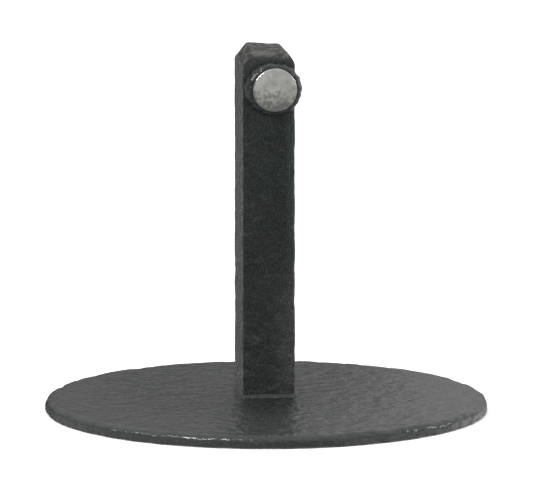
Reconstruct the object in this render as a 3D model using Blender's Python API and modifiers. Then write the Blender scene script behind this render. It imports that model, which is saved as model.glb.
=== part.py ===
"""A welded steel post stand: a round plate foot, a square upright bar and a short round stub near its top.

Metres, +Z up. The origin is the centre of the plate's underside. The bar's front face, which carries the
stub, looks towards -Y and stands on the plate's centre line.
"""

import math

import bmesh
import bpy
from mathutils import Matrix

# Clearance between pieces that are welded together.
GAP = 0.0003

# Round plate foot.
DISC_DIAMETER = 0.2064
DISC_THICKNESS = 0.006
DISC_TOP_EDGE_RADIUS = 0.0026
DISC_BOTTOM_EDGE_RADIUS = 0.0008
DISC_SIDES = 128

# Square upright bar, welded on a little to the right of the plate's middle. Its height is measured from
# the plate's top face, and the cut off each top corner is a little deeper on the left.
BAR_WIDTH = 0.0254
BAR_HEIGHT = 0.1645
BAR_EDGE_RADIUS = 0.0008
BAR_SIDE_SHIFT = 0.0012
BAR_LEFT_CORNER_CUT = 0.0064
BAR_RIGHT_CORNER_CUT = 0.0058

# Round stub. It stands out from the bar's front face, a little to the right of the bar's middle.
STUB_DIAMETER = 0.0206
STUB_LENGTH = 0.006
STUB_EDGE_RADIUS = 0.0005
STUB_BELOW_TOP = 0.0191
STUB_SIDE_SHIFT = 0.0022
STUB_SIDES = 64

# Weld bead round the stub: its outer radius is on the bar, its height is up the stub's side.
STUB_WELD_RADIUS = 0.0132
STUB_WELD_HEIGHT = 0.0050
STUB_WELD_ARC_STEPS = 6

# Weld runs along the four sides of the bar's foot. The crown is how far the face bulges, from 0 for a
# straight slope to 1 for a quarter circle.
FOOT_WELD_LEG = 0.0020
FOOT_WELD_CROWN = 0.35
FOOT_WELD_ARC_STEPS = 4
FOOT_WELD_RUNS = {
    "front": {"facing": -90, "length": BAR_WIDTH + 2 * FOOT_WELD_LEG},
    "right": {"facing": 0, "length": BAR_WIDTH},
    "back": {"facing": 90, "length": BAR_WIDTH + 2 * FOOT_WELD_LEG},
    "left": {"facing": 180, "length": BAR_WIDTH},
}

# Finishes: colour, roughness and metallic value.
BLACK_PAINT = {"colour": (0.045, 0.048, 0.046, 1.0), "roughness": 0.35, "metallic": 0.0}
BARE_STEEL = {"colour": (0.50, 0.50, 0.49, 1.0), "roughness": 0.40, "metallic": 1.0}

BEVEL_SEGMENTS = 3
SHARP_ANGLE = math.radians(30)


def clear_scene():
    for scene_object in list(bpy.data.objects):
        bpy.data.objects.remove(scene_object, do_unlink=True)


def make_material(name, finish):
    material = bpy.data.materials.new(name)
    material.use_nodes = True
    shader = material.node_tree.nodes["Principled BSDF"]
    shader.inputs["Base Color"].default_value = finish["colour"]
    shader.inputs["Roughness"].default_value = finish["roughness"]
    shader.inputs["Metallic"].default_value = finish["metallic"]
    return material


def add_piece(name, data, finish, collection, parent):
    piece = bpy.data.objects.new(name, data)
    piece.parent = parent
    data.materials.append(make_material(name, finish))
    collection.objects.link(piece)
    return piece


def mesh_from(name, bm):
    mesh = bpy.data.meshes.new(name)
    bm.to_mesh(mesh)
    bm.free()
    return mesh


def shade_round(mesh):
    mesh.shade_smooth()
    mesh.set_sharp_from_angle(angle=SHARP_ANGLE)


def cylinder(radius, length, sides):
    bm = bmesh.new()
    bmesh.ops.create_cone(
        bm, cap_ends=True, segments=sides, radius1=radius, radius2=radius, depth=length)
    return bm


def edges_at_height(bm, height):
    return [edge for edge in bm.edges if all(abs(vert.co.z - height) < GAP for vert in edge.verts)]


def bevel_edges(bm, edges, width, segments):
    bmesh.ops.bevel(
        bm, geom=edges, offset=width, offset_type="OFFSET", segments=segments, profile=0.5,
        affect="EDGES")


def round_edges(piece, radius):
    bevel = piece.modifiers.new("rounded edges", "BEVEL")
    bevel.width = radius
    bevel.segments = BEVEL_SEGMENTS
    bevel.limit_method = "ANGLE"
    bevel.angle_limit = SHARP_ANGLE


def make_base_disc(collection, parent):
    """A round plate, its top edge rounded more than its bottom edge."""
    bm = cylinder(DISC_DIAMETER / 2, DISC_THICKNESS, DISC_SIDES)
    for height, radius in (
            (DISC_THICKNESS / 2, DISC_TOP_EDGE_RADIUS),
            (-DISC_THICKNESS / 2, DISC_BOTTOM_EDGE_RADIUS)):
        bevel_edges(bm, edges_at_height(bm, height), radius, BEVEL_SEGMENTS)
    mesh = mesh_from("base_disc", bm)
    shade_round(mesh)
    disc = add_piece("base_disc", mesh, BLACK_PAINT, collection, parent)
    disc.location.z = DISC_THICKNESS / 2


def make_upright_bar(collection, parent):
    """A square bar with the left and right corners of its top cut off at 45 degrees."""
    height = BAR_HEIGHT - GAP
    bm = bmesh.new()
    bmesh.ops.create_cube(bm, size=1.0, matrix=Matrix.Diagonal((BAR_WIDTH, BAR_WIDTH, height, 1.0)))
    for side, cut in ((-1, BAR_LEFT_CORNER_CUT), (1, BAR_RIGHT_CORNER_CUT)):
        top_side_edge = [
            edge for edge in edges_at_height(bm, height / 2)
            if all(vert.co.x * side > 0 for vert in edge.verts)
        ]
        bevel_edges(bm, top_side_edge, cut, 1)
    bar = add_piece("upright_bar", mesh_from("upright_bar", bm), BLACK_PAINT, collection, parent)
    bar.location = (BAR_SIDE_SHIFT, BAR_WIDTH / 2, DISC_THICKNESS + GAP + height / 2)
    round_edges(bar, BAR_EDGE_RADIUS)


def on_stub_axis(out):
    """A point on the stub's axis, at a distance out from the bar's front face."""
    height = DISC_THICKNESS + BAR_HEIGHT - STUB_BELOW_TOP
    return (BAR_SIDE_SHIFT + STUB_SIDE_SHIFT, -out, height)


def make_stub_pin(collection, parent):
    length = STUB_LENGTH - GAP
    mesh = mesh_from("stub_pin", cylinder(STUB_DIAMETER / 2, length, STUB_SIDES))
    shade_round(mesh)
    stub = add_piece("stub_pin", mesh, BARE_STEEL, collection, parent)
    stub.location = on_stub_axis(GAP + length / 2)
    stub.rotation_euler.x = math.radians(90)
    round_edges(stub, STUB_EDGE_RADIUS)


def stub_weld_profile():
    """Half section of the bead, as (radius, height): up the stub's side, then down the crowned face."""
    inner = STUB_DIAMETER / 2 + GAP
    width = STUB_WELD_RADIUS - inner
    profile = [(inner, 0.0)]
    for step in range(STUB_WELD_ARC_STEPS + 1):
        angle = math.radians(90) * step / STUB_WELD_ARC_STEPS
        profile.append((inner + width * math.sin(angle), STUB_WELD_HEIGHT * math.cos(angle)))
    return profile


def make_stub_weld(collection, parent):
    profile = stub_weld_profile()
    bm = bmesh.new()
    verts = [bm.verts.new((radius, 0.0, height)) for radius, height in profile]
    for index, vert in enumerate(verts):
        bm.edges.new((vert, verts[(index + 1) % len(verts)]))
    weld = add_piece("stub_weld", mesh_from("stub_weld", bm), BLACK_PAINT, collection, parent)
    weld.location = on_stub_axis(GAP)
    weld.rotation_euler.x = math.radians(90)
    turn = weld.modifiers.new("turned ring", "SCREW")
    turn.steps = STUB_SIDES
    turn.render_steps = STUB_SIDES
    turn.use_merge_vertices = True
    turn.merge_threshold = GAP / 10
    turn.use_smooth_shade = True


def foot_weld_section():
    """Cross-section of a run: x goes out along the plate, y goes up the bar."""
    points = [(0.0, 0.0)]
    for step in range(FOOT_WELD_ARC_STEPS + 1):
        angle = math.radians(90) * step / FOOT_WELD_ARC_STEPS
        straight = (1 - FOOT_WELD_CROWN) / (math.cos(angle) + math.sin(angle))
        reach = FOOT_WELD_LEG * (straight + FOOT_WELD_CROWN)
        points.append((reach * math.cos(angle), reach * math.sin(angle)))
    return points


def make_foot_weld(side, run, collection, parent):
    name = f"foot_weld_{side}"
    curve = bpy.data.curves.new(name, "CURVE")
    curve.dimensions = "2D"
    curve.fill_mode = "BOTH"
    curve.extrude = run["length"] / 2
    section = foot_weld_section()
    spline = curve.splines.new("POLY")
    spline.points.add(len(section) - 1)
    for point, (out, up) in zip(spline.points, section):
        point.co = (out, up, 0.0, 1.0)
    spline.use_cyclic_u = True
    weld = add_piece(name, curve, BLACK_PAINT, collection, parent)
    facing = math.radians(run["facing"])
    reach = BAR_WIDTH / 2 + GAP
    weld.location = (
        BAR_SIDE_SHIFT + reach * math.cos(facing),
        BAR_WIDTH / 2 + reach * math.sin(facing),
        DISC_THICKNESS + GAP,
    )
    weld.rotation_euler = (math.radians(90), 0, facing)


def main():
    clear_scene()
    collection = bpy.data.collections.new("post_stand")
    bpy.context.scene.collection.children.link(collection)
    stand = bpy.data.objects.new("post_stand", None)
    collection.objects.link(stand)
    make_base_disc(collection, stand)
    make_upright_bar(collection, stand)
    make_stub_pin(collection, stand)
    make_stub_weld(collection, stand)
    for side, run in FOOT_WELD_RUNS.items():
        make_foot_weld(side, run, collection, stand)


main()
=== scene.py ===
"""Looks of the welded post stand: hammered black paint, lumpy weld beads and a bare steel stub face."""
import math

import bmesh
import bpy
from mathutils import Matrix, Vector, noise


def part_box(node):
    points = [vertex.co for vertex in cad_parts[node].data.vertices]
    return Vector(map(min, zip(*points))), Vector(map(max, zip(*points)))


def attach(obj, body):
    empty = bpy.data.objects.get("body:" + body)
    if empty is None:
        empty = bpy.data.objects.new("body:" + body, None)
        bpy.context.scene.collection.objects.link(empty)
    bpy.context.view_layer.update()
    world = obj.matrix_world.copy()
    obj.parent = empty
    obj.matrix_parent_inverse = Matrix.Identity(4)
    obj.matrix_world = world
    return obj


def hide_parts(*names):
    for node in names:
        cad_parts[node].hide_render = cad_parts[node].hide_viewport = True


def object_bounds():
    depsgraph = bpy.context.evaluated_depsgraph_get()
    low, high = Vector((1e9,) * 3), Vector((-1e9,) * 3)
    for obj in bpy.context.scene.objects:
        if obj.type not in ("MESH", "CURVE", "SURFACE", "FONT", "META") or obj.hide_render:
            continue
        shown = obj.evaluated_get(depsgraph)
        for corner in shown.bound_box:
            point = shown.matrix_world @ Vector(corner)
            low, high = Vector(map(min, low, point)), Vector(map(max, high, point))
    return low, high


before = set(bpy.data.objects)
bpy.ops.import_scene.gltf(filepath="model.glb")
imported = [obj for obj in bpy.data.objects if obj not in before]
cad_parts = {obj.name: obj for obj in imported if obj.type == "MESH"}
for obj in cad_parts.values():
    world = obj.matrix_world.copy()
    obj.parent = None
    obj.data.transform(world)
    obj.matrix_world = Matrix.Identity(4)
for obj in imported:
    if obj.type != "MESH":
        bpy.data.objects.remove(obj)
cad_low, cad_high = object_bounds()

MM = 0.001
BODY = "root"
SHARP_ANGLE = math.radians(30)

# The places of the CAD pieces, which every visual piece is built on.
DISC_LOW, DISC_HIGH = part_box("base_disc")
BAR_LOW, BAR_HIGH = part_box("upright_bar")
STUB_LOW, STUB_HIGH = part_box("stub_pin")
BEAD_LOW, BEAD_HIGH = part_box("stub_weld")

PLATE_TOP = DISC_HIGH.z
DISC_CENTRE = (DISC_LOW + DISC_HIGH) / 2
PLATE_RADIUS = (DISC_HIGH.x - DISC_LOW.x) / 2
BAR_CENTRE = (BAR_LOW + BAR_HIGH) / 2
BAR_WIDTH = BAR_HIGH.x - BAR_LOW.x
STUB_CENTRE = (STUB_LOW + STUB_HIGH) / 2
STUB_RADIUS = (STUB_HIGH.x - STUB_LOW.x) / 2
BEAD_RADIUS = (BEAD_HIGH.x - BEAD_LOW.x) / 2
BEAD_HEIGHT = BEAD_HIGH.y - BEAD_LOW.y

# Plate foot: the height of its widest line, the steps of its grid, and how far these crowd to its rim.
WIDEST_LEVEL = DISC_LOW.z + 1.8 * MM
PLATE_GRID = 176
PLATE_CROWDING = 1.5
# Each edge's rounding, as its reach across the face and its reach down the rim.
PLATE_TOP_EDGE = (4.0 * MM, 3.2 * MM)
PLATE_BOTTOM_EDGE = (0.8 * MM, 0.8 * MM)

# Bar: the size of each corner cut, as its reach along the top and its reach down the side.
BAR_CUT_LEFT = (6.1 * MM, 7.0 * MM)
BAR_CUT_RIGHT = (5.0 * MM, 7.2 * MM)
# How far the ground top falls across the bar's width.
BAR_TOP_FALL_RIGHT = 1.7 * MM
BAR_TOP_FALL_FRONT = 2.0 * MM
# Rounding of the top's front edge, and of all the other edges.
BAR_TOP_FRONT_EDGE = 2.6 * MM
BAR_TOP_FRONT_SEGMENTS = 8
BAR_EDGE = 1.0 * MM
BAR_EDGE_SEGMENTS = 4
# How far its foot is sunk in the plate, and the cell size and easing of its even mesh.
BAR_SUNK = 0.8 * MM
BAR_VOXEL = 0.5 * MM
EASE_FACTOR = 0.5
EASE_ROUNDS = 3

# Paint relief: how deep its hollows go, and how far apart they are. Along the edges, where the paint ran
# thick, a deeper relief is added.
BAR_RELIEF = (0.26 * MM, 5.5 * MM)
PLATE_RELIEF = (0.38 * MM, 8.5 * MM)
BEAD_RELIEF = (0.7 * MM, 2.8 * MM)
EDGE_RELIEF = (0.45 * MM, 8.5 * MM)
EDGE_REACH = 2.5 * MM
# The relief is a broad noise with a share of a finer one, taken from another part of space.
BROAD_SHARE = 1.3
FINE_SHARE = 0.5
FINE_CROWDING = 2.3
FINE_OFFSET = Vector((7.1, 3.3, 5.9))

# Stub: how far its root reaches into the bar, the rounding of its rim, the crown of its end face, and the
# steps round it, along its side, over its rim and across its end face.
STUB_ROOT = 2 * MM
STUB_RIM = 0.45 * MM
STUB_CROWN = 0.3 * MM
STUB_STEPS = 128
STUB_SIDE_STEPS = 12
STUB_RIM_STEPS = 6
STUB_FACE_STEPS = 24
# Wear of its rim: how much the rounding varies, and the noise that it follows round the rim.
WEAR_AMOUNT = 0.35
WEAR_CONTRAST = 2.5
WEAR_CROWDING = 5
WEAR_OFFSET = 0.7

# Bead round the stub: its steps, how far it is sunk in the bar, and the middle of its section.
BEAD_STEPS = 260
BEAD_SECTION_STEPS = 36
BEAD_SINK = 0.8 * MM
BEAD_MIDDLE = STUB_RADIUS + 0.1 * MM
# It is fuller to the left of the stub and thinner over it: angle, width and size of each swelling.
BEAD_SWELLINGS = (
    (165, 40, 0.75 * MM),
    (92, 26, -0.8 * MM),
    (8, 14, 0.2 * MM),
    (318, 20, 0.2 * MM),
    (250, 30, -0.1 * MM),
)
# Its lumps: their size, how closely they follow each other, and the share of them that lifts its crest.
BEAD_LUMP = 0.5 * MM
BEAD_LUMP_CROWDING = 3.2
BEAD_LUMP_LIFT = 0.3
# Its ripples: their size and number, the share that lifts its crest, and how they drift and lean.
BEAD_RIPPLE = 0.10 * MM
BEAD_RIPPLES = 19
BEAD_RIPPLE_LIFT = 0.6
BEAD_RIPPLE_DRIFT = 2.5
BEAD_DRIFT_CROWDING = 1.7
BEAD_RIPPLE_LEAN = 40

# Bead round the bar's foot: its reach out along the plate, its reach up the bar, and its crown, from 0
# for a straight slope to 1 for a quarter circle.
FOOT_BEAD_OUT = 1.9 * MM
FOOT_BEAD_UP = 2.0 * MM
FOOT_BEAD_CROWN = 0.3
# How far it is sunk, and the share of its size that its hidden part reaches.
FOOT_BEAD_SUNK = 0.45 * MM
FOOT_BEAD_SUNK_REACH = 0.4
# Its path's rounded corners, and the steps along the path and round the section.
FOOT_BEAD_CORNER = 1.2 * MM
FOOT_BEAD_CORNER_STEPS = 6
FOOT_BEAD_SPACING = 0.45 * MM
FOOT_BEAD_SECTION_STEPS = 32
# Its lumps, what it lacks on the left, and a swelling at its front right corner, as shares of its size.
FOOT_BEAD_LUMP = 0.22
FOOT_BEAD_LUMP_SPACING = 3 * MM
FOOT_BEAD_LEFT_LACK = 0.6
FOOT_BEAD_SWELLING = 0.05
FOOT_BEAD_SWELLING_WIDTH = 2.2 * MM
FOOT_BEAD_SWELLING_PLACE = Vector((BAR_WIDTH / 2, -BAR_WIDTH / 2, 0))

# Patterns of the paint. Scales are per metre, and each pattern fades in between two levels of its noise.
PATCHES = {"scale": 60, "detail": 3, "limits": (0.35, 0.65)}
GLOSS_PATCHES = {"scale": 420, "detail": 3, "limits": (0.3, 0.7)}
GRAIN = {"scale": 1250, "detail": 2, "limits": (0.46, 0.68)}
GRAIN_LIGHTER = 2.1
PLATE_MOTTLE = {"scale": 430, "detail": 3, "roughness": 0.65, "limits": (0.44, 0.62)}
PLATE_SPECKS = {"scale": 950, "detail": 1, "limits": (0.53, 0.66)}
BAR_TOP_STREAKS = {"scale": 330, "detail": 4, "roughness": 0.65, "limits": (0.46, 0.57)}
LEFT_SIDE_STREAKS = {
    "scale": 620, "detail": 3, "roughness": 0.6, "stretch": (1, 1, 0.4), "limits": (0.46, 0.64)}

# Bumps of the paint: dimples, pebbles on them in a share of their depth, and the finest roughness.
CELL_SMOOTHNESS = 0.6
DIMPLE_SCALE = 190
PEBBLE_SCALE = 520
PEBBLE_SHARE = 0.35
FINEST_BUMPS = {"scale": 1500, "detail": 1}
FINEST_DEPTH = 0.07 * MM

# Tones of each paint's darker and lighter patches, its range of roughness, and the depth of its dimples.
BAR_TONES = ((0.0082, 0.0114, 0.0107), (0.0112, 0.0144, 0.0136))
BAR_GLOSS = (0.19, 0.28)
BAR_DIMPLES = 0.45 * MM
PLATE_TONES = ((0.0035, 0.0060, 0.0052), (0.0055, 0.0080, 0.0070))
PLATE_MOTTLE_TONE = (0.0150, 0.0175, 0.0160)
PLATE_SPECK_TONE = (0.0430, 0.0455, 0.0425)
PLATE_GLOSS = (0.27, 0.36)
PLATE_DIMPLES = 0.54 * MM
BEAD_TONES = ((0.0075, 0.0098, 0.0098), (0.0110, 0.0138, 0.0138))
FOOT_BEAD_TONES = ((0.0125, 0.0140, 0.0135), (0.0165, 0.0180, 0.0175))
FOOT_BEAD_GLOSS = (0.40, 0.50)

# Where the bar's paint changes: the offsets from its top, its foot or its right side at which each change
# begins and is complete, and the same for the directions that its surface faces.
GROUND_TOP = (-16 * MM, -10 * MM)
# Painted light: the bar grows lighter towards its foot, for light reflected up from the plate.
FOOT_PAINTED_LIGHT = (75 * MM, 0)
# Painted light: the front's right-hand side is lighter still near the foot.
FRONT_RIGHT_LIGHT_HEIGHT = (75 * MM, 8 * MM)
FRONT_RIGHT_LIGHT_ASIDE = (-13 * MM, -2 * MM)
# The left side grows lighter still towards its foot.
LEFT_SIDE_LIGHTER_FOOT = (23 * MM, 13 * MM)
# Painted sheen: a lighter band along the bar's right edge.
RIGHT_EDGE_SHEEN = (-5.0 * MM, -3.0 * MM)
FACING_UP = (0.30, 0.60)
FACING_LEFT = (-0.4, -0.8)

# Where the plate's paint changes: distances from a point behind its middle, distances aside from its
# middle line, and offsets from its rim.
# Painted sheen: the plate's top grows lighter away from a point behind its middle, towards its front and
# sides.
PLATE_SHEEN_CENTRE = (0, 60 * MM, 0)
PLATE_SHEEN = (80 * MM, 130 * MM)
# Painted sheen on the plate's left and right sides.
PLATE_SIDES = (50 * MM, 90 * MM)
# The rim's band: its lighter tone is painted sheen, and its paint is glossier.
RIM_SHEEN_AND_GLOSS = (-1.8 * MM, -0.6 * MM)
SPECKLE_THINS = (-4 * MM, -1 * MM)
SPECKLE_ON_RIM = 0.3

# Border between the stub's painted side and its bare end face: its level, how far it wanders, and the
# offsets at which bare steel begins to show and at which no paint is left.
BORDER_LEVEL = STUB_LOW.y + 0.6 * STUB_RIM + STUB_CROWN
BORDER_NOISE = {"scale": 700, "detail": 2}
BORDER_WANDER = 0.25 * MM
BORDER_FADE = (0.05 * MM, -0.15 * MM)

# Bare steel: cloudy tones, stains with painted shade that thickens them from above its middle down to its
# lowest point, and a rim that was rubbed smoother.
STEEL_TONES = ((0.515, 0.515, 0.49), (0.64, 0.64, 0.608))
STEEL_CLOUDS = {"scale": 210, "detail": 4, "roughness": 0.6, "limits": (0.36, 0.64)}
STAIN_AND_SHADE_TONE = (0.25, 0.25, 0.232)
STAIN_NOISE = {"scale": 480, "detail": 5, "roughness": 0.6}
STAIN_AND_SHADE_LIMITS = (0.42, 0.80)
SHADE_BY_HEIGHT = (-0.10, 0.27)
SHADE_START = STUB_CENTRE.z + 0.5 * STUB_RADIUS
STEEL_ROUGHNESS = (0.52, 0.62)
STEEL_ROUGH_PATCHES = {"scale": 260, "detail": 4, "limits": (0.3, 0.7)}
STEEL_RIM = (-0.55 * MM, -0.35 * MM)
STEEL_RIM_ROUGHNESS = 0.20
STEEL_BUMPS = {"scale": 900, "detail": 4}
STEEL_BUMP_DEPTH = 0.08 * MM

# Floor: a wide pale disc just under the plate, which glows a little.
FLOOR_RADIUS = 14.0
FLOOR_SIDES = 96
FLOOR_DROP = 0.2 * MM
FLOOR_COLOUR = (0.93, 0.93, 0.93, 1.0)
FLOOR_GLOW_COLOUR = (1.0, 1.0, 1.0, 1.0)
FLOOR_GLOW = 0.07
FLOOR_ROUGHNESS = 0.9

# Brightness of the room by height, from -1 straight down to 1 straight up, on each side.
ROOM_BEHIND = (
    (-1, 0.34), (-0.3, 0.20), (-0.06, 0.11), (0, 0.05),
    (0.10, 0.08), (0.22, 0.335), (0.45, 0.5), (0.8, 1),
)
ROOM_IN_FRONT = (
    (-1, 0.6), (-0.45, 0.5), (-0.28, 0.12), (-0.08, 0.12),
    (0.05, 0.38), (0.25, 0.78), (0.5, 0.5), (0.8, 1),
)
ROOM_AT_LEFT = (
    (-1, 0.5), (-0.45, 0.5), (-0.25, 0.62), (-0.05, 0.62),
    (0.1, 0.4), (0.5, 0.5), (0.8, 1),
)
ROOM_AT_RIGHT = (
    (-1, 0.5), (-0.45, 0.7), (-0.25, 1.15), (-0.05, 1.15),
    (0.1, 0.5), (0.8, 1),
)
# Each side that differs from the one behind: its axis, where it begins and is complete, and its levels.
ROOM_SIDES = (
    ("Y", 0.25, -0.25, ROOM_IN_FRONT),
    ("X", 0.25, 0.8, ROOM_AT_RIGHT),
    ("X", -0.3, -0.75, ROOM_AT_LEFT),
)

# Camera: the direction it looks from, its distance and the end of its sight in metres, its lens in
# millimetres, and the point that it looks at.
CAMERA_AZIMUTH = math.radians(8.3)
CAMERA_ELEVATION = math.radians(9.4)
CAMERA_DISTANCE = 6.2
CAMERA_CLIP_END = 60
FOCAL_LENGTH = 899.5
SENSOR_WIDTH = 36.0
AIM_ASIDE = 0.14 * MM
AIM_HEIGHT = 77.4 * MM


# ---------------------------------------------------------------- mesh helpers


def clamped(value):
    """The value, held between -1 and 1."""
    return max(-1.0, min(1.0, value))


def hollow(point, relief):
    """How far the paint surface lies under its highest level at a point, in metres."""
    depth, spacing = relief
    scaled = point / spacing
    broad = noise.noise(scaled)
    fine = noise.noise(scaled * FINE_CROWDING + FINE_OFFSET)
    return depth * (0.5 - 0.5 * clamped(BROAD_SHARE * broad + FINE_SHARE * fine)) ** 2


def sink_surface(mesh, relief, edge_distance=None):
    """Presses the hammered relief into a mesh, inwards along its normals.

    edge_distance gives a point's distance to the nearest edge, where the relief is deeper.
    """
    normals = [vert.normal.copy() for vert in mesh.vertices]
    for vert, normal in zip(mesh.vertices, normals):
        sunk = hollow(vert.co, relief)
        if edge_distance is not None:
            nearness = math.exp(-((edge_distance(vert.co) / EDGE_REACH) ** 2))
            sunk += nearness * hollow(vert.co, EDGE_RELIEF)
        vert.co -= normal * sunk
    mesh.update()


def mesh_from(name, bm):
    mesh = bpy.data.meshes.new(name)
    bm.to_mesh(mesh)
    bm.free()
    return mesh


def add_to_scene(name, data):
    added = bpy.data.objects.new(name, data)
    bpy.context.scene.collection.objects.link(added)
    return added


def finish_piece(name, mesh, material, slot, *nodes):
    """Links a mesh as a piece that rides on the stand and stands for CAD nodes."""
    mesh.shade_smooth()
    piece = add_to_scene(name, mesh)
    mesh.materials.append(material)
    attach(piece, BODY)
    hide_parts(*nodes)


def loft(name, rings, closed_along, capped=False):
    """A mesh through rings of equally many points, each ring a closed loop."""
    bm = bmesh.new()
    rows = [[bm.verts.new(point) for point in ring] for ring in rings]
    count = len(rows[0])
    last = len(rows) if closed_along else len(rows) - 1
    for i in range(last):
        row, following = rows[i], rows[(i + 1) % len(rows)]
        for j in range(count):
            k = (j + 1) % count
            bm.faces.new((row[j], row[k], following[k], following[j]))
    if capped:
        bm.faces.new(rows[0][::-1])
        bm.faces.new(rows[-1])
    bmesh.ops.recalc_face_normals(bm, faces=bm.faces)
    return mesh_from(name, bm)


# ---------------------------------------------------------------- plate foot


def square_to_disc(u, v):
    """Maps a point of the square from -1 to 1 to a radius and an angle on the unit disc, ring to ring."""
    if u == 0 and v == 0:
        return 0.0, 0.0
    if abs(u) > abs(v):
        return abs(u), (math.pi / 4) * (v / u) + (math.pi if u < 0 else 0.0)
    return abs(v), math.pi / 2 - (math.pi / 4) * (u / v) + (math.pi if v < 0 else 0.0)


def plate_profile(share, edge, side):
    """Radius and height at a share of the way from the middle of one face to the widest line.

    side is 1 for the top face and -1 for the underside.
    """
    face = DISC_HIGH.z if side > 0 else DISC_LOW.z
    across, down = edge
    flat = PLATE_RADIUS - across
    turn = (across + down) * math.pi / 4
    straight = abs(face - WIDEST_LEVEL) - down
    way = share * (flat + turn + straight)
    if way <= flat:
        return way, face
    if way <= flat + turn:
        angle = (way - flat) / turn * math.pi / 2
        return flat + across * math.sin(angle), face - side * down * (1 - math.cos(angle))
    return PLATE_RADIUS, face - side * (down + way - flat - turn)


def plate_point(i, j, edge, side):
    """The place of one point of a face's square grid."""
    ring, angle = square_to_disc(2 * i / PLATE_GRID - 1, 2 * j / PLATE_GRID - 1)
    share = 1 - (1 - ring) ** PLATE_CROWDING
    radius, height = plate_profile(share, edge, side)
    x = DISC_CENTRE.x + radius * math.cos(angle)
    y = DISC_CENTRE.y + radius * math.sin(angle)
    return x, y, height


def add_plate_face(bm, edge, side, joined_to=None):
    """One face of the plate as rows of points; the underside takes over the top's outermost points."""
    rows = []
    for i in range(PLATE_GRID + 1):
        row = []
        for j in range(PLATE_GRID + 1):
            outermost = i in (0, PLATE_GRID) or j in (0, PLATE_GRID)
            if joined_to is not None and outermost:
                row.append(joined_to[i][j])
            else:
                row.append(bm.verts.new(plate_point(i, j, edge, side)))
        rows.append(row)
    for i in range(PLATE_GRID):
        for j in range(PLATE_GRID):
            corners = [rows[i][j], rows[i + 1][j], rows[i + 1][j + 1], rows[i][j + 1]]
            bm.faces.new(corners[::side])
    return rows


def distance_to_plate_edge(point):
    """Distance along the plate to the middle of its top edge's rounding, and 0 outside that."""
    return max(0.0, PLATE_RADIUS - PLATE_TOP_EDGE[0] / 2 - (point - DISC_CENTRE).xy.length)


def make_plate(material):
    """The round foot: two faces of one grid, joined at the widest line."""
    bm = bmesh.new()
    top = add_plate_face(bm, PLATE_TOP_EDGE, 1)
    add_plate_face(bm, PLATE_BOTTOM_EDGE, -1, joined_to=top)
    bm.normal_update()
    mesh = mesh_from("plate_foot", bm)
    sink_surface(mesh, PLATE_RELIEF, distance_to_plate_edge)
    finish_piece("plate_foot", mesh, material, "black_paint", "base_disc")


# ---------------------------------------------------------------- bar


def cut_away(bm, point, outward):
    """Cuts off everything of a closed shape that lies beyond a plane, and closes the cut."""
    geometry = list(bm.verts) + list(bm.edges) + list(bm.faces)
    cut = bmesh.ops.bisect_plane(
        bm, geom=geometry, plane_co=point, plane_no=outward, clear_outer=True)
    rim = [item for item in cut["geom_cut"] if isinstance(item, bmesh.types.BMEdge)]
    bmesh.ops.contextual_create(bm, geom=rim)


def cut_corner(bm, side, along, down):
    """Cuts the left (-1) or right (1) corner off the bar's top, through its full depth."""
    edge_x = BAR_HIGH.x if side > 0 else BAR_LOW.x
    point = Vector((edge_x, BAR_CENTRE.y, BAR_HIGH.z - down))
    cut_away(bm, point, Vector((side * down, 0, along)).normalized())


def round_edges(bm, edges, width, segments):
    bmesh.ops.bevel(
        bm, geom=edges, offset=width, offset_type="OFFSET", segments=segments, profile=0.5,
        affect="EDGES")


def evenly_meshed(name, bm):
    """Turns a closed shape into an even fine mesh with slightly eased edges."""
    source = add_to_scene(name + "_source", mesh_from(name, bm))
    even = source.modifiers.new("even", "REMESH")
    even.mode = "VOXEL"
    even.voxel_size = BAR_VOXEL
    ease = source.modifiers.new("ease", "SMOOTH")
    ease.factor = EASE_FACTOR
    ease.iterations = EASE_ROUNDS
    graph = bpy.context.evaluated_depsgraph_get()
    result = bpy.data.meshes.new_from_object(source.evaluated_get(graph))
    result.name = name
    bpy.data.objects.remove(source)
    return result


def distance_to_bar_edge(point):
    """Distance to the nearest upright edge."""
    across = min(point.x - BAR_LOW.x, BAR_HIGH.x - point.x)
    deep = min(point.y - BAR_LOW.y, BAR_HIGH.y - point.y)
    return math.hypot(across, deep)


def uncut_bar():
    """The bar as a plain box, from a little way down in the plate to its highest point."""
    foot = Vector((BAR_LOW.x, BAR_LOW.y, PLATE_TOP - BAR_SUNK))
    bm = bmesh.new()
    place = Matrix.Translation((BAR_HIGH + foot) / 2) @ Matrix.Diagonal((*(BAR_HIGH - foot), 1.0))
    bmesh.ops.create_cube(bm, size=1.0, matrix=place)
    return bm


def make_bar(material):
    """The bar: its top ground down to the right and front, its corners cut, and its edges rounded."""
    bm = uncut_bar()
    upward = Vector((BAR_TOP_FALL_RIGHT, -BAR_TOP_FALL_FRONT, BAR_WIDTH)).normalized()
    cut_away(bm, Vector((BAR_LOW.x, BAR_HIGH.y, BAR_HIGH.z)), upward)
    top_front = [
        edge for edge in bm.edges
        if all(vert.co.z > BAR_CENTRE.z and vert.co.y < BAR_CENTRE.y for vert in edge.verts)
    ]
    round_edges(bm, top_front, BAR_TOP_FRONT_EDGE, BAR_TOP_FRONT_SEGMENTS)
    cut_corner(bm, -1, *BAR_CUT_LEFT)
    cut_corner(bm, 1, *BAR_CUT_RIGHT)
    sharp = [
        edge for edge in bm.edges
        if edge.calc_face_angle() > SHARP_ANGLE and max(vert.co.z for vert in edge.verts) > PLATE_TOP
    ]
    round_edges(bm, sharp, BAR_EDGE, BAR_EDGE_SEGMENTS)
    mesh = evenly_meshed("post", bm)
    sink_surface(mesh, BAR_RELIEF, distance_to_bar_edge)
    finish_piece("post", mesh, material, "black_paint", "upright_bar")


# ---------------------------------------------------------------- stub and its bead


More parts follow.
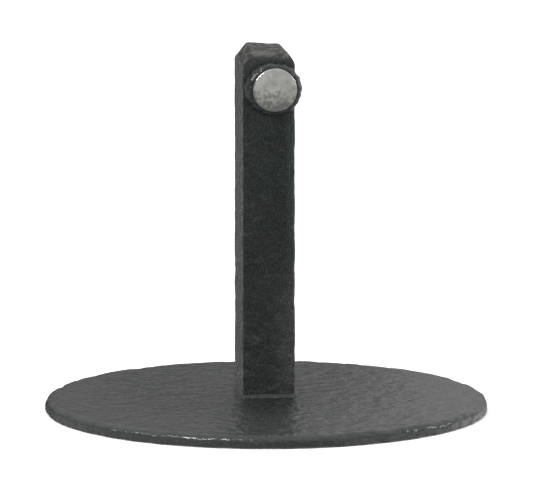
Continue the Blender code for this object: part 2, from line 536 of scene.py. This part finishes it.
def around_stub(radius, angle, out):
    """A point at a radius and an angle about the stub's axis, and a distance out from the bar's face."""
    return Vector((
        STUB_CENTRE.x + radius * math.cos(angle),
        BAR_LOW.y - out,
        STUB_CENTRE.z + radius * math.sin(angle),
    ))


def stub_profile(rim):
    """Radius and distance out along the stub, from inside the bar to the crowned end face's middle."""
    reach = BAR_LOW.y - STUB_LOW.y
    shoulder = reach - STUB_CROWN - rim
    profile = []
    for step in range(STUB_SIDE_STEPS + 1):
        profile.append((STUB_RADIUS, -STUB_ROOT + (shoulder + STUB_ROOT) * step / STUB_SIDE_STEPS))
    for step in range(1, STUB_RIM_STEPS + 1):
        angle = math.pi / 2 * step / STUB_RIM_STEPS
        radius = STUB_RADIUS - rim * (1 - math.cos(angle))
        profile.append((radius, shoulder + rim * math.sin(angle)))
    face = STUB_RADIUS - rim
    for step in range(1, STUB_FACE_STEPS):
        radius = face * (1 - step / STUB_FACE_STEPS)
        profile.append((radius, reach - STUB_CROWN * (radius / face) ** 2))
    return profile


def make_stub(material):
    """The stub; its rim is worn unevenly, so its rounding changes all the way round."""
    slices = []
    for step in range(STUB_STEPS):
        angle = 2 * math.pi * step / STUB_STEPS
        around = Vector((math.cos(angle), math.sin(angle), WEAR_OFFSET)) * WEAR_CROWDING
        wear = clamped(WEAR_CONTRAST * noise.noise(around))
        rim = STUB_RIM * (1 + WEAR_AMOUNT * wear)
        slices.append([around_stub(radius, angle, out) for radius, out in stub_profile(rim)])
    rings = [list(ring) for ring in zip(*slices)]
    mesh = loft("stub", rings, closed_along=False, capped=True)
    finish_piece("stub", mesh, material, "bare_steel", "stub_pin")


def swelling_at(angle, middle, width, size):
    """How far a swelling widens the bead at an angle in radians; its middle and width are in degrees."""
    away = (math.degrees(angle) - middle + 180) % 360 - 180
    return size * math.exp(-((away / width) ** 2))


def stub_bead_section(angle):
    """The bead's section at an angle about the stub, as a ring of points, partly sunk in the bar."""
    around = Vector((math.cos(angle), math.sin(angle), 0)) * BEAD_LUMP_CROWDING
    lump = BEAD_LUMP * noise.noise(around)
    drift = BEAD_RIPPLE_DRIFT * noise.noise(around * BEAD_DRIFT_CROWDING)
    ripple = BEAD_RIPPLE * math.sin(angle * BEAD_RIPPLES + drift)
    swelling = sum(swelling_at(angle, *entry) for entry in BEAD_SWELLINGS)
    half_width = BEAD_RADIUS + lump + ripple + swelling - BEAD_MIDDLE
    crest = BEAD_HEIGHT + BEAD_LUMP_LIFT * lump + BEAD_RIPPLE_LIFT * ripple
    leaning = angle + ripple * BEAD_RIPPLE_LEAN
    ring = []
    for step in range(BEAD_SECTION_STEPS):
        turn = 2 * math.pi * step / BEAD_SECTION_STEPS
        rise = math.sin(turn)
        out = rise * (crest if rise > 0 else BEAD_SINK)
        ring.append(around_stub(BEAD_MIDDLE + half_width * math.cos(turn), leaning, out))
    return ring


def make_stub_bead(material):
    """A bead all round the stub, with the lumps and ripples of hand welding."""
    rings = [stub_bead_section(2 * math.pi * step / BEAD_STEPS) for step in range(BEAD_STEPS)]
    mesh = loft("stub_bead", rings, closed_along=True)
    sink_surface(mesh, BEAD_RELIEF)
    finish_piece("stub_bead", mesh, material, "black_paint", "stub_weld")


# ---------------------------------------------------------------- bead round the bar's foot


def foot_path():
    """Points round the bar's foot, with the outward direction at each, corners rounded."""
    half = BAR_WIDTH / 2
    flat = half - FOOT_BEAD_CORNER
    path = []
    for quarter in range(4):
        facing = math.pi / 2 * quarter
        out = Vector((math.cos(facing), math.sin(facing), 0))
        along = Vector((-out.y, out.x, 0))
        steps = int(2 * flat / FOOT_BEAD_SPACING)
        for step in range(steps + 1):
            path.append((out * half + along * (-flat + 2 * flat * step / steps), out))
        for step in range(1, FOOT_BEAD_CORNER_STEPS):
            angle = math.pi / 2 * step / FOOT_BEAD_CORNER_STEPS
            turned = out * math.cos(angle) + along * math.sin(angle)
            path.append((out * flat + along * flat + turned * FOOT_BEAD_CORNER, turned))
    return path


def fillet_reach(angle):
    """Reach of the bead's section at an angle: a crowned slope facing out and up, small elsewhere."""
    if not 0 <= angle <= math.pi / 2:
        return FOOT_BEAD_SUNK_REACH
    slope = 1 / (math.cos(angle) + math.sin(angle))
    return slope * (1 - FOOT_BEAD_CROWN) + FOOT_BEAD_CROWN


def foot_bead_size(place, out):
    """The bead's size at a point of its path, as a share of its usual one."""
    lump = FOOT_BEAD_LUMP * noise.noise(place / FOOT_BEAD_LUMP_SPACING)
    size = 1 + lump - FOOT_BEAD_LEFT_LACK * max(0.0, -out.x)
    away = (place - FOOT_BEAD_SWELLING_PLACE).length / FOOT_BEAD_SWELLING_WIDTH
    return size + FOOT_BEAD_SWELLING * math.exp(-(away ** 2))


def make_foot_bead(material):
    """One lumpy bead round all four sides of the bar's foot."""
    foot = Vector((BAR_CENTRE.x, BAR_CENTRE.y, PLATE_TOP - FOOT_BEAD_SUNK))
    rings = []
    for place, out in foot_path():
        size = foot_bead_size(place, out)
        ring = []
        for turn in range(FOOT_BEAD_SECTION_STEPS):
            angle = 2 * math.pi * turn / FOOT_BEAD_SECTION_STEPS
            reach = size * fillet_reach(angle)
            offset = out * (reach * FOOT_BEAD_OUT * math.cos(angle))
            offset.z = reach * FOOT_BEAD_UP * math.sin(angle)
            ring.append(foot + place + offset)
        rings.append(ring)
    mesh = loft("foot_bead", rings, closed_along=True)
    runs = [f"foot_weld_{side}" for side in ("front", "right", "back", "left")]
    finish_piece("foot_bead", mesh, material, "black_paint", *runs)


# ---------------------------------------------------------------- building materials


# The sockets of a Mix node for each kind of value: first, second, result.
MIX_SOCKETS = {"FLOAT": (2, 3, 0), "VECTOR": (4, 5, 1), "RGBA": (6, 7, 2)}


class Nodes:
    """Short calls for building one node tree."""

    def __init__(self, tree, place):
        self.tree = tree
        self.place = self.add("ShaderNodeTexCoord").outputs[place]

    def add(self, kind, **settings):
        node = self.tree.nodes.new(kind)
        for name, value in settings.items():
            setattr(node, name, value)
        return node

    def link(self, source, target):
        self.tree.links.new(source, target)

    def parts(self, vector):
        node = self.add("ShaderNodeSeparateXYZ")
        self.link(vector, node.inputs["Vector"])
        return node.outputs

    def stretched(self, factors):
        """The place, with each of its axes multiplied by a factor."""
        node = self.add("ShaderNodeVectorMath", operation="MULTIPLY")
        node.inputs[1].default_value = factors
        self.link(self.place, node.inputs[0])
        return node.outputs["Vector"]

    def scaled(self, vector, factor):
        node = self.add("ShaderNodeVectorMath", operation="SCALE")
        node.inputs["Scale"].default_value = factor
        self.link(vector, node.inputs[0])
        return node.outputs["Vector"]

    def distance(self, axes, centre):
        """Distance from a point, counting only the axes whose factor is 1."""
        node = self.add("ShaderNodeVectorMath", operation="DISTANCE")
        node.inputs[1].default_value = [factor * value for factor, value in zip(axes, centre)]
        self.link(self.stretched(axes), node.inputs[0])
        return node.outputs["Value"]

    def noise(self, scale, detail, roughness=0.5, stretch=(1, 1, 1)):
        node = self.add("ShaderNodeTexNoise")
        node.inputs["Scale"].default_value = scale
        node.inputs["Detail"].default_value = detail
        node.inputs["Roughness"].default_value = roughness
        self.link(self.stretched(stretch), node.inputs["Vector"])
        return node.outputs["Fac"]

    def cells(self, scale):
        node = self.add("ShaderNodeTexVoronoi", feature="SMOOTH_F1")
        node.inputs["Scale"].default_value = scale
        node.inputs["Smoothness"].default_value = CELL_SMOOTHNESS
        self.link(self.place, node.inputs["Vector"])
        return node.outputs["Distance"]

    def ramp(self, value, low, high, to_low=0.0, to_high=1.0):
        """A value's way from low to high, eased at both ends; low may be the higher one."""
        node = self.add("ShaderNodeMapRange", interpolation_type="SMOOTHSTEP")
        node.inputs["From Min"].default_value = low
        node.inputs["From Max"].default_value = high
        node.inputs["To Min"].default_value = to_low
        node.inputs["To Max"].default_value = to_high
        self.link(value, node.inputs["Value"])
        return node.outputs["Result"]

    def pattern(self, limits, spread=(0.0, 1.0), **noise_settings):
        """A noise as a pattern: the first value of the spread below its limits, the second above them."""
        return self.ramp(self.noise(**noise_settings), *limits, *spread)

    def math(self, operation, *values):
        node = self.add("ShaderNodeMath", operation=operation)
        for socket, value in zip(node.inputs, values):
            if isinstance(value, (int, float)):
                socket.default_value = value
            else:
                self.link(value, socket)
        return node.outputs["Value"]

    def mix(self, share, first, second, kind="RGBA"):
        node = self.add("ShaderNodeMix", data_type=kind)
        first_socket, second_socket, result = MIX_SOCKETS[kind]
        self.link(share, node.inputs["Factor"])
        for index, value in ((first_socket, first), (second_socket, second)):
            if isinstance(value, tuple):
                node.inputs[index].default_value = (*value, 1.0)
            elif isinstance(value, float):
                node.inputs[index].default_value = value
            else:
                self.link(value, node.inputs[index])
        return node.outputs[result]

    def bump(self, height, distance, base=None):
        node = self.add("ShaderNodeBump")
        node.inputs["Distance"].default_value = distance
        self.link(height, node.inputs["Height"])
        if base is not None:
            self.link(base, node.inputs["Normal"])
        return node.outputs["Normal"]


def new_material(name):
    material = bpy.data.materials.new(name)
    material.use_nodes = True
    return material, material.node_tree.nodes["Principled BSDF"]


# ---------------------------------------------------------------- places where the paint changes


def share_along(nodes, axis, start, offsets):
    """Share of a change that grows along an axis, between two offsets from a start."""
    begins, complete = offsets
    return nodes.ramp(nodes.parts(nodes.place)[axis], start + begins, start + complete)


def facing_share(nodes, axis, limits):
    """How far a surface faces along an axis, from 0 at the first limit to 1 at the second."""
    normal = nodes.parts(nodes.add("ShaderNodeNewGeometry").outputs["Normal"])
    return nodes.ramp(normal[axis], *limits)


def near_bar_top(nodes):
    return share_along(nodes, "Z", BAR_HIGH.z, GROUND_TOP)


def on_bar_top(nodes):
    return nodes.math("MULTIPLY", near_bar_top(nodes), facing_share(nodes, "Z", FACING_UP))


def streaked_on_bar_top(nodes):
    return nodes.math("MULTIPLY", on_bar_top(nodes), nodes.pattern(**BAR_TOP_STREAKS))


# Painted light: a lighter tone towards the bar's foot, standing for light reflected up from the plate.
def painted_light_near_foot(nodes):
    return share_along(nodes, "Z", BAR_LOW.z, FOOT_PAINTED_LIGHT)


def painted_light_right_of_foot(nodes):
    """Painted light on the front's right-hand side near the foot, fading out upwards and towards the
    middle.
    """
    aside = share_along(nodes, "X", BAR_HIGH.x, FRONT_RIGHT_LIGHT_ASIDE)
    return nodes.math("MULTIPLY", aside, share_along(nodes, "Z", BAR_LOW.z, FRONT_RIGHT_LIGHT_HEIGHT))


# Painted sheen: a lighter tone along the bar's right edge.
def painted_sheen_beside_right_edge(nodes):
    return share_along(nodes, "X", BAR_HIGH.x, RIGHT_EDGE_SHEEN)


def on_left_side(nodes):
    return facing_share(nodes, "X", FACING_LEFT)


def left_side_at_foot(nodes):
    low = share_along(nodes, "Z", BAR_LOW.z, LEFT_SIDE_LIGHTER_FOOT)
    return nodes.math("MULTIPLY", low, on_left_side(nodes))


def streaked_on_left_side(nodes):
    """Upright rub marks down the bar's left side."""
    return nodes.math("MULTIPLY", on_left_side(nodes), nodes.pattern(**LEFT_SIDE_STREAKS))


def distance_along_plate(nodes, centre=(0, 0, 0)):
    return nodes.distance((1, 1, 0), centre)


def plate_front_sheen(nodes):
    """The plate's front and sides, where a lighter tone than at its back is painted sheen."""
    return nodes.ramp(distance_along_plate(nodes, PLATE_SHEEN_CENTRE), *PLATE_SHEEN)


def plate_sides_sheen(nodes):
    """The plate's left and right sides, away from the bar, where a lighter tone is painted sheen."""
    aside = nodes.math("ABSOLUTE", nodes.parts(nodes.place)["X"])
    return nodes.ramp(aside, *PLATE_SIDES)


# The rim's band, where a lighter tone is painted sheen and the paint is glossier.
def on_plate_rim(nodes):
    limits = [PLATE_RADIUS + offset for offset in RIM_SHEEN_AND_GLOSS]
    return nodes.ramp(distance_along_plate(nodes), *limits)


def inside_plate_rim(nodes):
    """How thickly the plate's speckle lies: fully inside the rim, and thinly on it."""
    limits = [PLATE_RADIUS + offset for offset in SPECKLE_THINS]
    return nodes.ramp(distance_along_plate(nodes), *limits, 1.0, SPECKLE_ON_RIM)


# ---------------------------------------------------------------- paints and steel


def light_grain(nodes, colour):
    """Fine grain, in a lighter tone of the paint's own colour."""
    return nodes.mix(nodes.pattern(**GRAIN), colour, nodes.scaled(colour, GRAIN_LIGHTER))


def plate_speckle(nodes, colour):
    """The plate's mottled grain with its pale specks."""
    inside = inside_plate_rim(nodes)
    for pattern, tone in ((PLATE_MOTTLE, PLATE_MOTTLE_TONE), (PLATE_SPECKS, PLATE_SPECK_TONE)):
        share = nodes.math("MULTIPLY", nodes.pattern(**pattern), inside)
        colour = nodes.mix(share, colour, tone)
    return colour


def paint_looks(nodes, tones, gloss, dimple_depth, changes=(), grain=light_grain):
    """Colour, roughness and normal of glossy black hammered paint.

    tones are the colours of its darker and its lighter patches, and gloss is its range of roughness.
    Each change is a place where the paint looks different, its tone there, and its roughness there or
    None. grain adds the finest marks to the colour.
    """
    colour = nodes.mix(nodes.pattern(**PATCHES), *tones)
    roughness = nodes.pattern(spread=gloss, **GLOSS_PATCHES)
    for place, changed_tone, changed_roughness in changes:
        share = place(nodes)
        colour = nodes.mix(share, colour, changed_tone)
        if changed_roughness is not None:
            roughness = nodes.mix(share, roughness, changed_roughness, "FLOAT")
    colour = grain(nodes, colour)
    dimpled = nodes.bump(nodes.cells(DIMPLE_SCALE), dimple_depth)
    pebbled = nodes.bump(nodes.cells(PEBBLE_SCALE), PEBBLE_SHARE * dimple_depth, base=dimpled)
    normal = nodes.bump(nodes.noise(**FINEST_BUMPS), FINEST_DEPTH, base=pebbled)
    return colour, roughness, normal


def make_paint(name, **looks):
    material, shader = new_material(name)
    nodes = Nodes(material.node_tree, "Object")
    colour, roughness, normal = paint_looks(nodes, **looks)
    nodes.link(colour, shader.inputs["Base Color"])
    nodes.link(roughness, shader.inputs["Roughness"])
    nodes.link(normal, shader.inputs["Normal"])
    return material


def make_bar_paint():
    """Glossy, but duller and browner where the top was ground, with painted light: lighter towards the
    foot, along the right edge and on the left side.
    """
    changes = (
        # Painted sheen along the right edge.
        (painted_sheen_beside_right_edge, (0.0155, 0.0185, 0.0192), None),
        # Painted light near the foot, reflected up from the plate; the front's right-hand side more so.
        (painted_light_near_foot, (0.0195, 0.0213, 0.0208), None),
        (painted_light_right_of_foot, (0.0355, 0.0375, 0.0367), None),
        (near_bar_top, (0.0140, 0.0160, 0.0145), 0.50),
        # Painted sheen on the left side: a lighter tone than the front's.
        (on_left_side, (0.0290, 0.0305, 0.0280), None),
        # The left side's tone, lighter still towards its foot.
        (left_side_at_foot, (0.0800, 0.0820, 0.0780), None),
        (streaked_on_left_side, (0.0560, 0.0575, 0.0530), None),
        (on_bar_top, (0.0080, 0.0090, 0.0075), 0.50),
        (streaked_on_bar_top, (0.0490, 0.0498, 0.0438), 0.50),
    )
    return make_paint(
        "black_bar_paint", tones=BAR_TONES, gloss=BAR_GLOSS, dimple_depth=BAR_DIMPLES,
        changes=changes)


def make_plate_paint():
    """A little duller than the bar and speckled, with painted sheen that makes it lighter towards its
    front and sides and greyer on its rim.
    """
    changes = (
        # Painted sheen: lighter towards the front and sides, and on the rim.
        (plate_front_sheen, (0.0190, 0.0215, 0.0205), None),
        (plate_sides_sheen, (0.0235, 0.0260, 0.0247), None),
        (on_plate_rim, (0.0255, 0.0285, 0.0277), 0.18),
    )
    return make_paint(
        "black_plate_paint", tones=PLATE_TONES, gloss=PLATE_GLOSS, dimple_depth=PLATE_DIMPLES,
        changes=changes, grain=plate_speckle)


def make_bead_paint():
    return make_paint(
        "black_bead_paint", tones=BEAD_TONES, gloss=BAR_GLOSS, dimple_depth=BAR_DIMPLES)


def make_foot_bead_paint():
    return make_paint(
        "black_foot_paint", tones=FOOT_BEAD_TONES, gloss=FOOT_BEAD_GLOSS, dimple_depth=BAR_DIMPLES)


def bare_share(nodes):
    """Where the stub is bare: its end face, as far as an uneven border at the rim."""
    uneven = nodes.math("MULTIPLY", nodes.noise(**BORDER_NOISE), BORDER_WANDER)
    depth = nodes.math("SUBTRACT", nodes.parts(nodes.place)["Y"], uneven)
    return nodes.ramp(depth, *(BORDER_LEVEL + offset for offset in BORDER_FADE))


def steel_looks(nodes):
    """Colour, roughness and normal of bare, slightly dull steel with stains, and painted shade towards
    its bottom.
    """
    clean = nodes.mix(nodes.pattern(**STEEL_CLOUDS), *STEEL_TONES)
    height = nodes.parts(nodes.place)["Z"]
    # Painted shade: the stains thicken towards the end face's bottom, which reflects the darker low room.
    shaded_lower = nodes.ramp(height, SHADE_START, STUB_LOW.z, *SHADE_BY_HEIGHT)
    stained_and_shaded = nodes.ramp(nodes.math("ADD", nodes.noise(**STAIN_NOISE), shaded_lower), *STAIN_AND_SHADE_LIMITS)
    colour = nodes.mix(stained_and_shaded, clean, STAIN_AND_SHADE_TONE)
    off_axis = nodes.distance((1, 0, 1), STUB_CENTRE)
    on_rim = nodes.ramp(off_axis, *(STUB_RADIUS + offset for offset in STEEL_RIM))
    roughness = nodes.pattern(spread=STEEL_ROUGHNESS, **STEEL_ROUGH_PATCHES)
    roughness = nodes.mix(on_rim, roughness, STEEL_RIM_ROUGHNESS, "FLOAT")
    normal = nodes.bump(nodes.noise(**STEEL_BUMPS), STEEL_BUMP_DEPTH)
    return colour, roughness, normal


def make_stub_finish():
    """Paint on the stub's side, bare dull steel on its end face."""
    material, shader = new_material("bare_steel_and_paint")
    nodes = Nodes(material.node_tree, "Object")
    bare = bare_share(nodes)
    paint = paint_looks(nodes, BAR_TONES, BAR_GLOSS, BAR_DIMPLES)
    steel = steel_looks(nodes)
    inputs = (("Base Color", "RGBA"), ("Roughness", "FLOAT"), ("Normal", "VECTOR"))
    for (name, kind), painted, steely in zip(inputs, paint, steel):
        nodes.link(nodes.mix(bare, painted, steely, kind), shader.inputs[name])
    nodes.link(bare, shader.inputs["Metallic"])
    return material


# ---------------------------------------------------------------- studio


def make_floor():
    bm = bmesh.new()
    bmesh.ops.create_circle(bm, cap_ends=True, segments=FLOOR_SIDES, radius=FLOOR_RADIUS)
    mesh = mesh_from("floor", bm)
    material, shader = new_material("pale_floor")
    shader.inputs["Base Color"].default_value = FLOOR_COLOUR
    shader.inputs["Emission Color"].default_value = FLOOR_GLOW_COLOUR
    shader.inputs["Emission Strength"].default_value = FLOOR_GLOW
    shader.inputs["Roughness"].default_value = FLOOR_ROUGHNESS
    shader.inputs["Specular IOR Level"].default_value = 0.0
    mesh.materials.append(material)
    floor = add_to_scene("floor", mesh)
    floor.location.z = -FLOOR_DROP
    floor.visible_glossy = False


def room_brightness(nodes, height, levels):
    node = nodes.add("ShaderNodeValToRGB")
    ramp = node.color_ramp
    while len(ramp.elements) < len(levels):
        ramp.elements.new(0.5)
    for element, (level, brightness) in zip(ramp.elements, levels):
        element.position = (level + 1) / 2
        element.color = (brightness, brightness, brightness, 1.0)
    nodes.link(nodes.math("MULTIPLY_ADD", height, 0.5, 0.5), node.inputs["Fac"])
    return node.outputs["Color"]


def make_world():
    """A pale room, lighter on both sides, where its windows light the floor."""
    world = bpy.data.worlds.new("studio")
    world.use_nodes = True
    nodes = Nodes(world.node_tree, "Generated")
    direction = nodes.parts(nodes.place)
    room = room_brightness(nodes, direction["Z"], ROOM_BEHIND)
    for axis, begins, complete, levels in ROOM_SIDES:
        share = nodes.ramp(direction[axis], begins, complete)
        room = nodes.mix(share, room, room_brightness(nodes, direction["Z"], levels))
    sky = world.node_tree.nodes["Background"]
    nodes.link(room, sky.inputs["Color"])
    bpy.context.scene.world = world


def add_panel(name, toward, distance, size, power, reflected=True):
    """A soft rectangular light in the direction toward, facing the middle of the stand."""
    light = bpy.data.lights.new(name, "AREA")
    light.shape = "RECTANGLE"
    light.size, light.size_y = size
    light.energy = power
    panel = add_to_scene(name, light)
    middle = (cad_low + cad_high) / 2
    direction = Vector(toward).normalized()
    panel.location = middle + direction * distance
    panel.rotation_mode = "QUATERNION"
    panel.rotation_quaternion = direction.to_track_quat("Z", "Y")
    panel.visible_camera = False
    panel.visible_glossy = reflected


def make_lights():
    add_panel("upper_left", toward=(-0.539, -0.578, 0.61), distance=1.5, size=(0.12, 0.12), power=7)
    add_panel("left_windows", toward=(-0.671, -0.419, 0.61), distance=1.5, size=(1.7, 0.05), power=7)
    add_panel("right_window", toward=(0.95, 0.03, 0.31), distance=1.5, size=(0.3, 0.4), power=3.0)
    add_panel("rear_right", toward=(0.50, 0.857, 0.20), distance=0.72, size=(0.46, 0.46), power=0.17)
    add_panel(
        "overhead", toward=(0.0, 0.35, 1.0), distance=2.4, size=(2.6, 2.6), power=38, reflected=False)


def make_camera():
    back = Vector((
        -math.sin(CAMERA_AZIMUTH) * math.cos(CAMERA_ELEVATION),
        -math.cos(CAMERA_AZIMUTH) * math.cos(CAMERA_ELEVATION),
        math.sin(CAMERA_ELEVATION),
    ))
    data = bpy.data.cameras.new("camera")
    data.lens = FOCAL_LENGTH
    data.sensor_width = SENSOR_WIDTH
    data.clip_end = CAMERA_CLIP_END
    camera = add_to_scene("camera", data)
    camera.location = Vector((AIM_ASIDE, 0, AIM_HEIGHT)) + back * CAMERA_DISTANCE
    camera.rotation_mode = "QUATERNION"
    camera.rotation_quaternion = back.to_track_quat("Z", "Y")
    bpy.context.scene.camera = camera
    bpy.context.scene.view_settings.view_transform = "Standard"


def main():
    make_plate(make_plate_paint())
    make_bar(make_bar_paint())
    make_stub(make_stub_finish())
    make_stub_bead(make_bead_paint())
    make_foot_bead(make_foot_bead_paint())
    make_floor()
    make_world()
    make_lights()
    make_camera()


main()
